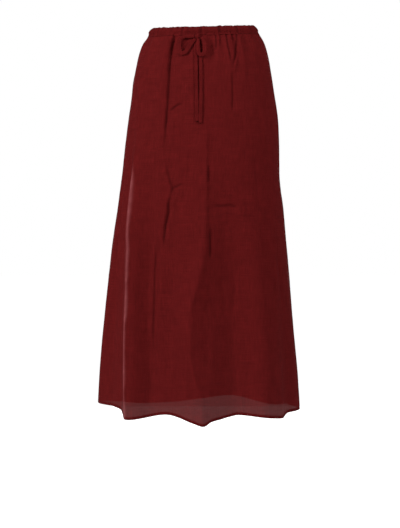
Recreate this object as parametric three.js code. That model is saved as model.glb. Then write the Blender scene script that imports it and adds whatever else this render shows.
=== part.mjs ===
// A drawstring maxi skirt in washed linen, hollow and in the form it takes when it is worn.
// Millimetres, +Z up, the front towards -Y. The origin is the middle of the waist, halfway up the
// casing, where a wearer holds the skirt. "round" is the way round the body in degrees: 0 is the
// centre front, 90 the right side seam, 180 the centre back and 270 (or -90) the left side seam.
// "drop" is the distance below the origin, before the waist's own tilt is added.
import * as THREE from "three";

// Cloth, seams and the waist
const clothThickness = 1.5;
const casingThickness = 3;
const seamGap = 0.3;
const casingTopDrop = -9;
const casingSeamDrop = 11;
const casingPuff = 1.4;
const headingHeight = 3;
const sideTilt = 0.026;
const frontDip = 13;
const backRise = 7;
const tiltFadeDrop = 260;
const squareness = 0.035;

// The turned hem: its depth, and how much thicker it is, on the inside
const hemDepth = 12;
const hemExtra = 0.8;

// The gathers: the share of their height at the casing seam, and how soon they are in full below it
const gatherAtSeam = 0.3;
const gatherGrowth = 14;

// The drawstring: a flat tie with rounded edges, and its knot
const tieWidth = 6.4;
const tieThickness = 2.2;
const tieSides = 8;
const knotSize = { across: 12, out: 8.4, up: 11 };
const knotPlace = { across: -9.6, drop: 14.5, lift: 4.9 };

// How a fold moves round on its way down: evenly at 1, mostly near its top below that
const foldDrift = 0.7;

// How finely each piece is divided
const frontColumns = 90;
const backColumns = 64;
const casingColumns = 112;
const frontRows = 15;
const backRows = 13;

const linen = { color: 0x5a1618, roughness: 0.9, metalness: 0 };
const tieLinen = { color: 0x571517, roughness: 0.88, metalness: 0 };

// The hanging form at each drop: how far it reaches to each side, to the front and to the back
const sections = [
  { drop: -12, left: 104, right: 111, front: 77, back: 82 },
  { drop: -4, left: 112, right: 117, front: 80, back: 84 },
  { drop: 11, left: 119, right: 126, front: 83, back: 88 },
  { drop: 36, left: 132, right: 138, front: 90, back: 97 },
  { drop: 64, left: 141, right: 146, front: 96, back: 107 },
  { drop: 108, left: 151, right: 154, front: 103, back: 121 },
  { drop: 152, left: 156, right: 161, front: 107, back: 129 },
  { drop: 196, left: 162, right: 167, front: 111, back: 134 },
  { drop: 262, left: 170, right: 170, front: 116, back: 138 },
  { drop: 328, left: 177, right: 171, front: 121, back: 141 },
  { drop: 394, left: 186, right: 179, front: 126, back: 145 },
  { drop: 460, left: 196, right: 185, front: 132, back: 149 },
  { drop: 548, left: 205, right: 193, front: 139, back: 155 },
  { drop: 636, left: 213, right: 199, front: 146, back: 161 },
  { drop: 724, left: 220, right: 205, front: 153, back: 168 },
  { drop: 800, left: 224, right: 208, front: 159, back: 174 },
  { drop: 860, left: 226, right: 211, front: 162, back: 178 },
];

// How low the hem hangs all round
const hemLevels = [
  { round: -90, drop: 815 },
  { round: -68, drop: 816 },
  { round: -55, drop: 817 },
  { round: -47, drop: 821 },
  { round: -41, drop: 836 },
  { round: -37, drop: 838 },
  { round: -21, drop: 828 },
  { round: -12, drop: 833 },
  { round: -5, drop: 842 },
  { round: 1, drop: 848 },
  { round: 5, drop: 840 },
  { round: 11, drop: 836 },
  { round: 17, drop: 832 },
  { round: 23, drop: 829 },
  { round: 40, drop: 836 },
  { round: 53, drop: 839 },
  { round: 64, drop: 832 },
  { round: 84, drop: 830 },
  { round: 112, drop: 827 },
  { round: 137, drop: 836 },
  { round: 158, drop: 817 },
  { round: 182, drop: 829 },
  { round: 209, drop: 836 },
  { round: 240, drop: 824 },
];

// The large folds. A positive height is a ridge, a negative one a hollow. It starts at the drop
// "start" and is in full at "full". A lean of 0.5 takes half of its width on the left side away and
// adds as much on its right side.
const folds = [
  { topRound: -56, hemRound: -40, start: 160, full: 430, height: 23, spread: 13, lean: 0.35, crisp: 0.6 },
  { topRound: -66, hemRound: -62, start: 240, full: 600, height: -9, spread: 15, lean: 0, crisp: 0.1 },
  { topRound: -80, hemRound: -84, start: 420, full: 760, height: 4, spread: 16, lean: 0, crisp: 0 },
  { topRound: -24, hemRound: -21, start: 360, full: 780, height: -15, spread: 18, lean: -0.2, crisp: 0 },
  { topRound: 3, hemRound: 0, start: 120, full: 800, height: 18, spread: 17, lean: -0.2, crisp: 0.35 },
  { topRound: 19, hemRound: 20, start: 260, full: 740, height: -17, spread: 16, lean: 0, crisp: 0.1 },
  { topRound: 38, hemRound: 39, start: 380, full: 800, height: 12, spread: 16, lean: 0.1, crisp: 0.15 },
  { topRound: 60, hemRound: 62, start: 500, full: 800, height: -9, spread: 13, lean: 0, crisp: 0 },
  { topRound: 82, hemRound: 84, start: 560, full: 820, height: 6, spread: 13, lean: 0, crisp: 0.4 },
  { topRound: 108, hemRound: 107, start: 420, full: 800, height: -9, spread: 16, lean: 0, crisp: 0 },
  { topRound: 132, hemRound: 134, start: 260, full: 780, height: 15, spread: 18, lean: 0.2, crisp: 0.3 },
  { topRound: 156, hemRound: 157, start: 320, full: 780, height: -15, spread: 18, lean: 0, crisp: 0 },
  { topRound: 180, hemRound: 181, start: 230, full: 760, height: 14, spread: 17, lean: -0.2, crisp: 0.25 },
  { topRound: 203, hemRound: 205, start: 360, full: 800, height: 12, spread: 14, lean: 0, crisp: 0.2 },
  { topRound: 228, hemRound: 229, start: 300, full: 760, height: -14, spread: 19, lean: 0, crisp: 0 },
  { topRound: 250, hemRound: 252, start: 360, full: 800, height: 9, spread: 16, lean: 0, crisp: 0.2 },
];

// The gathers that the front shows below the casing, deepest at the seam and gone at "reach"
const frontGathers = [
  { round: -76, height: 1.8, spread: 5, reach: 70 },
  { round: -65, height: 1.6, spread: 4, reach: 55 },
  { round: -55, height: 2.2, spread: 5, reach: 80 },
  { round: -46, height: -1.6, spread: 4, reach: 60 },
  { round: -35, height: 3.8, spread: 7, reach: 270 },
  { round: -28, height: -3.6, spread: 4.5, reach: 290 },
  { round: -21, height: 2, spread: 4, reach: 60 },
  { round: -14, height: -1.8, spread: 4, reach: 70 },
  { round: -7, height: 2.2, spread: 4, reach: 85 },
  { round: 2, height: 2.6, spread: 4.5, reach: 90 },
  { round: 8, height: -3.4, spread: 4.5, reach: 110 },
  { round: 14, height: 2.4, spread: 3.5, reach: 80 },
  { round: 19, height: -1.8, spread: 3.5, reach: 60 },
  { round: 24, height: 3, spread: 4, reach: 105 },
  { round: 30, height: -3.2, spread: 4, reach: 95 },
  { round: 36, height: 3, spread: 4, reach: 120 },
  { round: 43, height: -2, spread: 4.5, reach: 75 },
  { round: 52, height: 1.8, spread: 5, reach: 80 },
  { round: 63, height: 1.4, spread: 5, reach: 60 },
  { round: 75, height: 1.6, spread: 5, reach: 55 },
];

// The back's gathers are alike but uneven: a wave of ridges whose height and reach wander
const backGatherCount = 18;
const backGather = { height: 2.7, wander: 1.2, spread: 5.2, reach: 95, reachWander: 50 };

// The crinkles of the gathered casing: waves round the waist, deepest where the photo shows them
const crinkleWaves = 56;
const crinkleDepth = 0.75;
const crinkleLevels = [
  { round: -90, share: 1 },
  { round: -20, share: 1.15 },
  { round: 20, share: 0.8 },
  { round: 60, share: 0.55 },
  { round: 110, share: 1 },
  { round: 180, share: 1.2 },
  { round: 240, share: 1.1 },
];

// The drawstring's routes. "across" is to the right of the centre front, and "lift" is the distance
// from the cloth to the middle of the tie.
const leftTail = [
  { across: -12.8, drop: 20.2, lift: 2.9 },
  { across: -12.9, drop: 45, lift: 2.4 },
  { across: -12.6, drop: 75, lift: 2.3 },
  { across: -12.2, drop: 108, lift: 2.2 },
  { across: -11.6, drop: 142, lift: 2.2 },
  { across: -10.9, drop: 177, lift: 2.2 },
  { across: -10.4, drop: 210, lift: 2.3 },
];
const rightTail = [
  { across: -6.2, drop: 20.2, lift: 2.9 },
  { across: -4.4, drop: 42, lift: 2.4 },
  { across: -3, drop: 72, lift: 2.3 },
  { across: -2.4, drop: 106, lift: 2.2 },
  { across: -2.3, drop: 142, lift: 2.2 },
  { across: -2.7, drop: 178, lift: 2.2 },
  { across: -3.3, drop: 214, lift: 2.3 },
];
const leftLoop = [
  { across: -15.95, drop: 14.4, lift: 5 },
  { across: -27, drop: 13.4, lift: 6.2 },
  { across: -37, drop: 14.6, lift: 6 },
  { across: -44, drop: 20, lift: 5.6 },
  { across: -46.4, drop: 30, lift: 5.2 },
  { across: -46.2, drop: 41, lift: 5 },
  { across: -42.8, drop: 52, lift: 5 },
  { across: -35.6, drop: 50.4, lift: 5 },
  { across: -27.6, drop: 38.6, lift: 5.2 },
  { across: -20.6, drop: 28.6, lift: 5.6 },
  { across: -14.2, drop: 19.9, lift: 5.4 },
];
const rightLoop = [
  { across: -8, drop: 20.25, lift: 6.8 },
  { across: -8.6, drop: 33, lift: 6.2 },
  { across: -8.2, drop: 45, lift: 6.2 },
  { across: -5.8, drop: 54.6, lift: 6.4 },
  { across: -0.2, drop: 57.4, lift: 6.6 },
  { across: 4.4, drop: 51.6, lift: 6.6 },
  { across: 5.4, drop: 42, lift: 6.4 },
  { across: 4.6, drop: 31, lift: 6.2 },
  { across: 1.8, drop: 22, lift: 6.2 },
  { across: -1.6, drop: 16.6, lift: 6.2 },
];
const tailSteps = 14;
const loopSteps = 22;

const radians = (degrees) => (degrees * Math.PI) / 180;
const easeIn = (share) => share * share * (3 - 2 * share);
const clamp01 = (value) => Math.min(1, Math.max(0, value));

// The shortest way from one angle to another, from -180 to 180 degrees
function turnBetween(from, to) {
  return ((((to - from) % 360) + 540) % 360) - 180;
}

// A smooth curve through a table's rows: the value of one column at a place along another
function readTable(rows, along, column, at) {
  let i = 0;
  while (i < rows.length - 2 && rows[i + 1][along] < at) i++;
  const slopeAt = (k) => {
    const before = rows[Math.max(k - 1, 0)];
    const after = rows[Math.min(k + 1, rows.length - 1)];
    return (after[column] - before[column]) / (after[along] - before[along]);
  };
  const low = rows[i];
  const high = rows[i + 1];
  const span = high[along] - low[along];
  const share = clamp01((at - low[along]) / span);
  const rise = high[column] - low[column];
  const bendLow = slopeAt(i) * span - rise;
  const bendHigh = rise - slopeAt(i + 1) * span;
  const bend = (1 - share) * bendLow + share * bendHigh;
  return low[column] + share * rise + share * (1 - share) * bend;
}

// The same for a table that runs once round the body
function readRound(rows, column, round) {
  const turn = ((((round + 90) % 360) + 360) % 360) - 90;
  const first = rows[0];
  const last = rows[rows.length - 1];
  const closed = [
    { ...last, round: last.round - 360 },
    ...rows,
    { ...first, round: first.round + 360 },
    { ...rows[1], round: rows[1].round + 360 },
  ];
  return readTable(closed, "round", column, turn);
}

// The cross-section of one fold: 1 at its crest and 0 from its edge on, rounded or crisp
function foldProfile(away, crisp) {
  if (away >= 1) return 0;
  const soft = (1 - away) * (1 - away) * (1 + 2 * away);
  const sharp = Math.pow(1 - away, 1.7);
  return soft + (sharp - soft) * crisp;
}

// The way round of a fold's crest at a drop
function foldCentre(fold, drop) {
  const share = clamp01((drop - fold.start) / (hemDrop(fold.hemRound) - fold.start));
  return fold.topRound + (fold.hemRound - fold.topRound) * Math.pow(share, foldDrift);
}

function foldLift(round, drop) {
  let lift = 0;
  for (const fold of folds) {
    const grown = easeIn(clamp01((drop - fold.start) / (fold.full - fold.start)));
    if (grown === 0) continue;
    const offset = turnBetween(foldCentre(fold, drop), round);
    const spread = fold.spread * (1 + Math.sign(offset) * fold.lean);
    lift += fold.height * grown * foldProfile(Math.abs(offset) / spread, fold.crisp);
  }
  return lift;
}

function backGatherRows() {
  return Array.from({ length: backGatherCount }, (_, i) => ({
    round: 95 + (i * 171) / (backGatherCount - 1) + 2 * Math.sin(i * 2.3),
    height: backGather.height + backGather.wander * Math.sin(i * 1.9),
    spread: backGather.spread,
    reach: backGather.reach + backGather.reachWander * Math.sin(i * 2.7 + 1),
  }));
}
const gathers = [...frontGathers, ...backGatherRows()];

function gatherLift(round, drop) {
  const below = drop - casingSeamDrop;
  const grown = gatherAtSeam + (1 - gatherAtSeam) * easeIn(clamp01(below / gatherGrowth));
  let lift = 0;
  for (const gather of gathers) {
    const left = 1 - clamp01(below / gather.reach);
    const away = Math.abs(turnBetween(gather.round, round)) / gather.spread;
    lift += gather.height * grown * easeIn(left) * foldProfile(away, 0);
  }
  return lift;
}

// A point of the hanging form, moved out by lift, with the waist's tilt and its dip at the front
function formPoint(round, drop, lift) {
  const angle = radians(round);
  const sine = Math.sin(angle);
  const cosine = Math.cos(angle);
  const side = readTable(sections, "drop", sine < 0 ? "left" : "right", drop);
  const depth = readTable(sections, "drop", cosine > 0 ? "front" : "back", drop);
  const fuller = 1 + squareness * Math.sin(2 * angle) ** 2;
  const out = new THREE.Vector2(depth * sine, -side * cosine).normalize();
  const x = side * sine * fuller + out.x * lift;
  const y = -depth * cosine * fuller + out.y * lift;
  const tilt = 1 - easeIn(clamp01(drop / tiltFadeDrop));
  const lean = sideTilt * x - (cosine > 0 ? frontDip : backRise) * cosine;
  return new THREE.Vector3(x, y, -drop + tilt * lean);
}

function hemDrop(round) {
  return readRound(hemLevels, "drop", round);
}

// The drop at a share of the way down from the casing seam to the hem's edge
function skirtDrop(round, down) {
  const top = casingSeamDrop + seamGap;
  return top + (hemDrop(round) - top) * down;
}

// The columns of the front run along its sharpest ridge, so that its crest stays whole
function alongRidge(round, drop) {
  const ridge = folds[0];
  const away = turnBetween(ridge.hemRound, round);
  const reach = away < 0 ? ridge.hemRound + 90 : -ridge.hemRound;
  const share = clamp01(1 - Math.abs(away) / reach);
  return round + (foldCentre(ridge, drop) - ridge.hemRound) * share;
}

// The skirt's outer surface. "down" is 0 at the casing seam and 1 at the hem's edge.
function skirtPoint(round, down) {
  const drop = skirtDrop(round, down);
  const at = alongRidge(round, drop);
  return formPoint(at, drop, foldLift(at, drop) + gatherLift(at, drop));
}

function skirtThickness(round, down) {
  const fromEdge = hemDrop(round) - skirtDrop(round, down);
  return clothThickness + hemExtra * clamp01(1 - (fromEdge - hemDepth) / 2);
}

// The casing's outer surface. "down" is 0 at its top edge and 1 at its seam.
function casingPoint(round, down) {
  const drop = casingTopDrop + (casingSeamDrop - casingTopDrop) * down;
  const crinkle = readRound(crinkleLevels, "share", round) * crinkleDepth;
  const wave = Math.sin(radians(round * crinkleWaves)) + 0.5 * Math.sin(radians(round * 37));
  const puff = casingPuff * Math.sin(Math.PI * clamp01(down)) + casingThickness - clothThickness;
  const uneven = (1 - down) * 0.6 * Math.sin(radians(round * 23));
  return formPoint(round, drop - uneven, puff + crinkle * wave);
}

// A closed wall of cloth between two side edges. Its inner face lies "thickness" behind its outer
// face, or on a smooth ring where plainInside gives one. Its side edges stop short of the seam.
function clothWall({ fromRound, toRound, columns, rows, point, thickness, plainInside }) {
  const positions = [];
  const step = 0.02;
  const seamShift = fromRound < 0 ? -seamGap / 2 : seamGap / 2;
  const outward = (round, down) => {
    const across = point(round + step, down).sub(point(round - step, down));
    const along = point(round, Math.min(1, down + 0.001)).sub(point(round, Math.max(0, down - 0.001)));
    return across.cross(along).normalize().negate();
  };
  const place = (layer, i, j) => {
    const round = fromRound + ((toRound - fromRound) * i) / columns;
    const down = rows[j];
    const at = point(round, down);
    if (layer === 1 && plainInside) at.copy(plainInside(round, down));
    else if (layer === 1) at.addScaledVector(outward(round, down), -thickness(round, down));
    if (i === 0 || i === columns) at.y += seamShift;
    return at;
  };
  for (const layer of [0, 1])
    for (let j = 0; j < rows.length; j++)
      for (let i = 0; i <= columns; i++) positions.push(...place(layer, i, j).toArray());
  const across = columns + 1;
  const layerSize = across * rows.length;
  const corner = (layer, i, j) => layer * layerSize + j * across + i;
  const faces = [];
  const quad = (a, b, c, d) => faces.push(a, b, c, a, c, d);
  for (let j = 0; j < rows.length - 1; j++)
    for (let i = 0; i < columns; i++) {
      quad(corner(0, i, j + 1), corner(0, i + 1, j + 1), corner(0, i + 1, j), corner(0, i, j));
      quad(corner(1, i, j), corner(1, i + 1, j), corner(1, i + 1, j + 1), corner(1, i, j + 1));
    }
  const end = rows.length - 1;
  for (let i = 0; i < columns; i++) {
    quad(corner(0, i, 0), corner(0, i + 1, 0), corner(1, i + 1, 0), corner(1, i, 0));
    quad(corner(1, i, end), corner(1, i + 1, end), corner(0, i + 1, end), corner(0, i, end));
  }
  for (let j = 0; j < end; j++) {
    quad(corner(0, 0, j + 1), corner(0, 0, j), corner(1, 0, j), corner(1, 0, j + 1));
    quad(corner(1, columns, j + 1), corner(1, columns, j), corner(0, columns, j), corner(0, columns, j + 1));
  }
  const geometry = new THREE.BufferGeometry();
  geometry.setAttribute("position", new THREE.Float32BufferAttribute(positions, 3));
  geometry.setIndex(faces);
  geometry.computeVertexNormals();
  return geometry;
}

// Rows of a panel: close together in the gathers, even below them, and one at the turned hem
function panelRows(count) {
  const rows = [0];
  for (let j = 1; j < count; j++) rows.push(Math.pow(j / count, 1.45));
  const hemStart = 1 - hemDepth / (hemDrop(0) - casingSeamDrop);
  rows.push(hemStart - 0.003, hemStart, 1);
  return rows;
}

function skirtPanel(fromRound, toRound, columns, rowCount) {
  const rows = panelRows(rowCount);
  return clothWall({ fromRound, toRound, columns, rows, point: skirtPoint, thickness: skirtThickness });
}

function casingBand(fromRound, toRound) {
  const headingShare = headingHeight / (casingSeamDrop - casingTopDrop);
  const rows = [0, headingShare, 0.5, 1 - headingShare / 2, 1];
  const plainInside = (round, down) => {
    const drop = casingTopDrop + (casingSeamDrop - casingTopDrop) * down;
    return formPoint(round, drop, -clothThickness);
  };
  return clothWall({ fromRound, toRound, columns: casingColumns, rows, point: casingPoint, plainInside });
}

// The way round the body that faces a point "across" from the centre front at that drop
function roundAt(across, drop) {
  const side = readTable(sections, "drop", across < 0 ? "left" : "right", drop);
  return (Math.asin(across / side) * 180) / Math.PI;
}

// A point in front of the skirt, "lift" out from its cloth
function onFront({ across, drop, lift }) {
  const round = roundAt(across, drop);
  const cloth = drop > casingSeamDrop ? foldLift(round, drop) + gatherLift(round, drop) : casingPuff;
  return formPoint(round, drop, cloth + lift);
}

// A length of the flat tie. Its wide side faces the cloth.
function tie(route, steps) {
  const outline = Array.from({ length: tieSides }, (_, k) => {
    const angle = (2 * Math.PI * (k + 0.5)) / tieSides;
    const corner = 1 / Math.cos(Math.PI / tieSides);
    return new THREE.Vector2((tieWidth / 2) * Math.cos(angle), (tieThickness / 2) * Math.sin(angle))
      .multiplyScalar(corner);
  });
  const path = new THREE.CatmullRomCurve3(route.map(onFront), false, "centripetal");
  return new THREE.ExtrudeGeometry(new THREE.Shape(outline), { steps, extrudePath: path });
}

function knot() {
  const geometry = new THREE.SphereGeometry(0.5, 14, 10);
  geometry.scale(knotSize.across, knotSize.out, knotSize.up);
  return geometry;
}

const skirt = new THREE.Group();

function addPiece(name, geometry, finish) {
  const piece = new THREE.Mesh(geometry, new THREE.MeshStandardMaterial(finish));
  piece.name = name;
  skirt.add(piece);
  return piece;
}

addPiece("skirt_front", skirtPanel(-90, 90, frontColumns, frontRows), linen);
addPiece("skirt_back", skirtPanel(90, 270, backColumns, backRows), linen);
addPiece("waist_casing_front", casingBand(-90, 90), linen);
addPiece("waist_casing_back", casingBand(90, 270), linen);
addPiece("drawstring_knot", knot(), tieLinen).position.copy(onFront(knotPlace));
addPiece("drawstring_tail_left", tie(leftTail, tailSteps), tieLinen);
addPiece("drawstring_tail_right", tie(rightTail, tailSteps), tieLinen);
addPiece("drawstring_loop_left", tie(leftLoop, loopSteps), tieLinen);
addPiece("drawstring_loop_right", tie(rightLoop, loopSteps), tieLinen);

export default skirt;
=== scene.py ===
import itertools
import math

import bmesh
import bpy
import numpy as np
from mathutils import Matrix, Vector


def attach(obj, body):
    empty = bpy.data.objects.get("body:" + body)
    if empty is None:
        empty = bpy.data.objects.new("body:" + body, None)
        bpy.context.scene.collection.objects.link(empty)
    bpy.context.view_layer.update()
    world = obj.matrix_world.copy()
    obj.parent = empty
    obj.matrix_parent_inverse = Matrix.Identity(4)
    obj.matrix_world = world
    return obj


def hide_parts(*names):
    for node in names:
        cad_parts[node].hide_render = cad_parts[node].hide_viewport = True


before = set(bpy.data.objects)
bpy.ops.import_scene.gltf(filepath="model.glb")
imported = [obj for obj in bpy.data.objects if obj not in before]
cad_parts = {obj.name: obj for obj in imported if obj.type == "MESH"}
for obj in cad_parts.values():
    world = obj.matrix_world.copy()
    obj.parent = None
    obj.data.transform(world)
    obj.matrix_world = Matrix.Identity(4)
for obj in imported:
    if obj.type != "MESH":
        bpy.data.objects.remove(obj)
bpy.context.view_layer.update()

bl_info = {
    "name": "Drawstring maxi skirt",
    "version": (1, 0, 0),
    "blender": (4, 5, 0),
    "location": "3D View > Sidebar > Skirt",
    "description": "Builds a drawstring maxi skirt in washed linen around its CAD frame",
    "category": "Add Mesh",
}

# The hanging form, in metres, as the CAD part has it. "turn" is the way round the skirt in degrees:
# 0 is the centre front, 90 the right side seam, 180 the centre back and -90 or 270 the left side
# seam. "drop" is the distance below the origin, before the waist's own tilt is added.
CASING_TOP_DROP = -0.009
CASING_SEAM_DROP = 0.011
CASING_PUFF = 0.0014
CASING_HALF_THICKNESS = 0.0015
CASING_STITCH_SHARE = 0.05
SIDE_TILT = 0.026
FRONT_DIP = 0.013
BACK_RISE = 0.007
TILT_FADE_DROP = 0.26
SQUARENESS = 0.035
FOLD_DRIFT = 0.7
GATHER_AT_SEAM = 0.3
GATHER_GROWTH = 0.014
CRINKLE_WAVES = (56, 37)
CRINKLE_DEPTH = 0.00075
BACK_GATHER_COUNT = 18
TIE_WIDTH = 0.0076
LOOP_WIDENING = 1.12
LOOP_FLATTENING = 0.7
KNOT_PINCH = 0.35
KNOT_PINCH_REACH = 0.007


def table(columns, rows):
    """The rows of a table as one array for each named column."""
    return dict(zip(columns.split(), np.array(rows, float).T))


SECTIONS = table("drop left right front back", [
    (-0.012, 0.104, 0.111, 0.077, 0.082),
    (-0.004, 0.112, 0.117, 0.080, 0.084),
    (0.011, 0.119, 0.126, 0.083, 0.088),
    (0.036, 0.132, 0.138, 0.090, 0.097),
    (0.064, 0.141, 0.146, 0.096, 0.107),
    (0.108, 0.151, 0.154, 0.103, 0.121),
    (0.152, 0.156, 0.161, 0.107, 0.129),
    (0.196, 0.162, 0.167, 0.111, 0.134),
    (0.262, 0.170, 0.170, 0.116, 0.138),
    (0.328, 0.177, 0.171, 0.121, 0.141),
    (0.394, 0.186, 0.179, 0.126, 0.145),
    (0.460, 0.196, 0.185, 0.132, 0.149),
    (0.548, 0.205, 0.193, 0.139, 0.155),
    (0.636, 0.213, 0.199, 0.146, 0.161),
    (0.724, 0.220, 0.205, 0.153, 0.168),
    (0.800, 0.224, 0.208, 0.159, 0.174),
    (0.860, 0.226, 0.211, 0.162, 0.178),
])

HEM_LEVELS = table("turn drop", [
    (-90, 0.815), (-68, 0.816), (-55, 0.817), (-47, 0.821), (-41, 0.836), (-37, 0.838),
    (-21, 0.828), (-12, 0.833), (-5, 0.842), (1, 0.848), (5, 0.840), (11, 0.836),
    (17, 0.832), (23, 0.829), (40, 0.836), (53, 0.839), (64, 0.832), (84, 0.830),
    (112, 0.827), (137, 0.836), (158, 0.817), (182, 0.829), (209, 0.836), (240, 0.824),
])

# A fold's positive height is a ridge. It starts at the drop "start" and is in full at "full".
FOLDS = table("top hem start full height spread lean crisp", [
    (-56, -40, 0.160, 0.430, 0.023, 13, 0.35, 0.6),
    (-66, -62, 0.240, 0.600, -0.009, 15, 0, 0.1),
    (-80, -84, 0.420, 0.760, 0.004, 16, 0, 0),
    (-24, -21, 0.360, 0.780, -0.015, 18, -0.2, 0),
    (3, 0, 0.120, 0.800, 0.019, 17, -0.05, 0.75),
    (19, 20, 0.260, 0.740, -0.017, 16, 0, 0.1),
    (38, 39, 0.380, 0.800, 0.012, 16, 0.1, 0.15),
    (60, 62, 0.500, 0.800, -0.009, 13, 0, 0),
    (82, 84, 0.560, 0.820, 0.006, 13, 0, 0.4),
    (108, 107, 0.420, 0.800, -0.009, 16, 0, 0),
    (132, 134, 0.260, 0.780, 0.015, 18, 0.2, 0.3),
    (156, 157, 0.320, 0.780, -0.015, 18, 0, 0),
    (180, 181, 0.230, 0.760, 0.014, 17, -0.2, 0.25),
    (203, 205, 0.360, 0.800, 0.012, 14, 0, 0.2),
    (228, 229, 0.300, 0.760, -0.014, 19, 0, 0),
    (250, 252, 0.360, 0.800, 0.009, 16, 0, 0.2),
])

FRONT_GATHERS = [
    (-76, 0.0018, 5, 0.070), (-65, 0.0016, 4, 0.055), (-55, 0.0022, 5, 0.080),
    (-46, -0.0016, 4, 0.060), (-35, 0.0038, 7, 0.270), (-28, -0.0036, 4.5, 0.290),
    (-21, 0.0020, 4, 0.060), (-14, -0.0018, 4, 0.070), (-7, 0.0022, 4, 0.085),
    (2, 0.0026, 4.5, 0.090), (8, -0.0034, 4.5, 0.110), (14, 0.0024, 3.5, 0.080),
    (19, -0.0018, 3.5, 0.060), (24, 0.0030, 4, 0.105), (30, -0.0032, 4, 0.095),
    (36, 0.0030, 4, 0.120), (43, -0.0020, 4.5, 0.075), (52, 0.0018, 5, 0.080),
    (63, 0.0014, 5, 0.060), (75, 0.0016, 5, 0.055),
]
BACK_GATHERS = [
    (
        95 + i * 171 / (BACK_GATHER_COUNT - 1) + 2 * math.sin(i * 2.3),
        0.0027 + 0.0012 * math.sin(i * 1.9),
        5.2,
        0.095 + 0.05 * math.sin(i * 2.7 + 1),
    )
    for i in range(BACK_GATHER_COUNT)
]
GATHERS = table("turn height spread reach", FRONT_GATHERS + BACK_GATHERS)

CRINKLE_LEVELS = table("turn share", [
    (-90, 1), (-20, 1.15), (20, 0.8), (60, 0.55), (110, 1), (180, 1.2), (240, 1.1),
])

# The drawstring's routes: across from the centre front, drop, and lift from the cloth to the
# middle of the tie
TIE_ROUTES = {
    "drawstring_tail_left": [
        (-0.0128, 0.0202, 0.0029), (-0.0129, 0.0450, 0.0024), (-0.0126, 0.0750, 0.0023),
        (-0.0122, 0.1080, 0.0022), (-0.0116, 0.1420, 0.0022), (-0.0109, 0.1770, 0.0022),
        (-0.0104, 0.2100, 0.0023),
    ],
    "drawstring_tail_right": [
        (-0.0062, 0.0202, 0.0029), (-0.0044, 0.0420, 0.0024), (-0.0030, 0.0720, 0.0023),
        (-0.0024, 0.1060, 0.0022), (-0.0023, 0.1420, 0.0022), (-0.0027, 0.1780, 0.0022),
        (-0.0033, 0.2140, 0.0023),
    ],
    "drawstring_loop_left": [
        (-0.01595, 0.0144, 0.0050), (-0.0270, 0.0134, 0.0062), (-0.0370, 0.0146, 0.0060),
        (-0.0440, 0.0200, 0.0056), (-0.0464, 0.0300, 0.0052), (-0.0462, 0.0410, 0.0050),
        (-0.0428, 0.0520, 0.0050), (-0.0356, 0.0504, 0.0050), (-0.0276, 0.0386, 0.0052),
        (-0.0206, 0.0286, 0.0056), (-0.0142, 0.0199, 0.0054),
    ],
    "drawstring_loop_right": [
        (-0.0080, 0.02025, 0.0068), (-0.0086, 0.0330, 0.0062), (-0.0082, 0.0450, 0.0062),
        (-0.0058, 0.0546, 0.0064), (-0.0002, 0.0574, 0.0066), (0.0044, 0.0516, 0.0066),
        (0.0054, 0.0420, 0.0064), (0.0046, 0.0310, 0.0062), (0.0018, 0.0220, 0.0062),
        (-0.0016, 0.0166, 0.0062),
    ],
}

# The half width and the drop of the plain form that the ties are turned to face out of
TIE_FACING = (0.13, 0.05)

# The knot's place as above, the turn that it faces, its size across, outwards and up, and the width
# and thickness of the tie over it
KNOT_PLACE = (-0.0096, 0.0145, 0.0049)
KNOT_TURN = -4.5
KNOT_SIZE = (0.0104, 0.0062, 0.0096)
KNOT_TIE = (0.0062, 0.0016)

# The tie's two turns over the knot: the way they run in degrees, their reach, lift and seed
KNOT_TURNS = ((78, 0.0052, 0.0030, 1.0), (-8, 0.0049, 0.0022, 2.4))

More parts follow.
